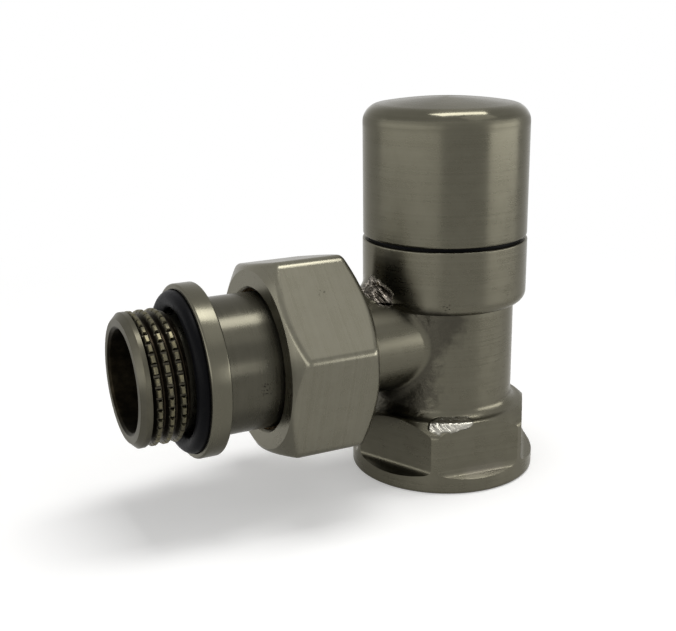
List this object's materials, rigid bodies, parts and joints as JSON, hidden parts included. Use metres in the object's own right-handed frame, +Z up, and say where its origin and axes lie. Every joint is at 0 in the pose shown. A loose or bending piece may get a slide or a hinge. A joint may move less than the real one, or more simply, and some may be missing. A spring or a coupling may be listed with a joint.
{
  "type": "angle radiator shut-off valve",
  "caption": "Angle shut-off valve with a female inlet below, a union and threaded tail at the side, and a round screw cap over the stem.",
  "frame": {"origin": "centre of the inlet face on which the valve stands", "axes": "+Z up the stem axis from the inlet to the cap, -X along the outlet towards the tail's thread"},
  "size_m": [0.073, 0.034, 0.0638],
  "materials": {
    "nickel_finish": "dark nickel plate over brass, brushed satin",
    "bare_brass": "turned, bare",
    "plain_steel": "bright wire and screw steel",
    "black_rubber": "smooth black rubber"
  },
  "bodies": {
    "root": {"valve_body": "nickel_finish", "bonnet": "bare_brass", "bonnet_oring": "black_rubber"},
    "plug": {"plug": "bare_brass", "seat_washer": "black_rubber", "washer_screw": "plain_steel"},
    "spindle": {"spindle": "bare_brass", "spindle_oring_lower": "black_rubber", "spindle_oring_upper": "black_rubber"},
    "cap_ring": {"cap_ring": "black_rubber"},
    "cap": {"cap": "nickel_finish"},
    "tail": {"tailpiece": "nickel_finish", "tail_face_oring": "black_rubber", "union_oring": "black_rubber", "snap_ring": "plain_steel"},
    "nut": {"union_nut": "nickel_finish"}
  },
  "joints": [
    {"name": "plug_lift", "type": "slide", "parent": "root", "child": "plug", "axis": [0, 0, 1], "range_m": [0, 0.0045]},
    {"name": "spindle_turn", "type": "hinge", "parent": "plug", "child": "spindle", "pos_m": [0, 0, 0.04], "axis": [0, 0, 1], "range_deg": [0, 1620]},
    {"name": "cap_lift", "type": "slide", "parent": "root", "child": "cap_ring", "axis": [0, 0, 1], "range_m": [0, 0.018]},
    {"name": "cap_turn", "type": "hinge", "parent": "cap_ring", "child": "cap", "pos_m": [0, 0, 0.05], "axis": [0, 0, 1], "range_deg": [0, 4320]},
    {"name": "tail_slide", "type": "slide", "parent": "root", "child": "tail", "axis": [-1, 0, 0], "range_m": [0, 0.01]},
    {"name": "nut_turn", "type": "hinge", "parent": "tail", "child": "nut", "pos_m": [-0.0276, 0, 0.024], "axis": [-1, 0, 0], "range_deg": [0, 1985]}
  ],
  "couplings": [
    {"joint": "spindle_turn", "follows": "plug_lift", "rad_per_m": 6283.1},
    {"joint": "cap_turn", "follows": "cap_lift", "rad_per_m": 4188.7},
    {"joint": "nut_turn", "follows": "tail_slide", "rad_per_m": 3463.7}
  ]
}
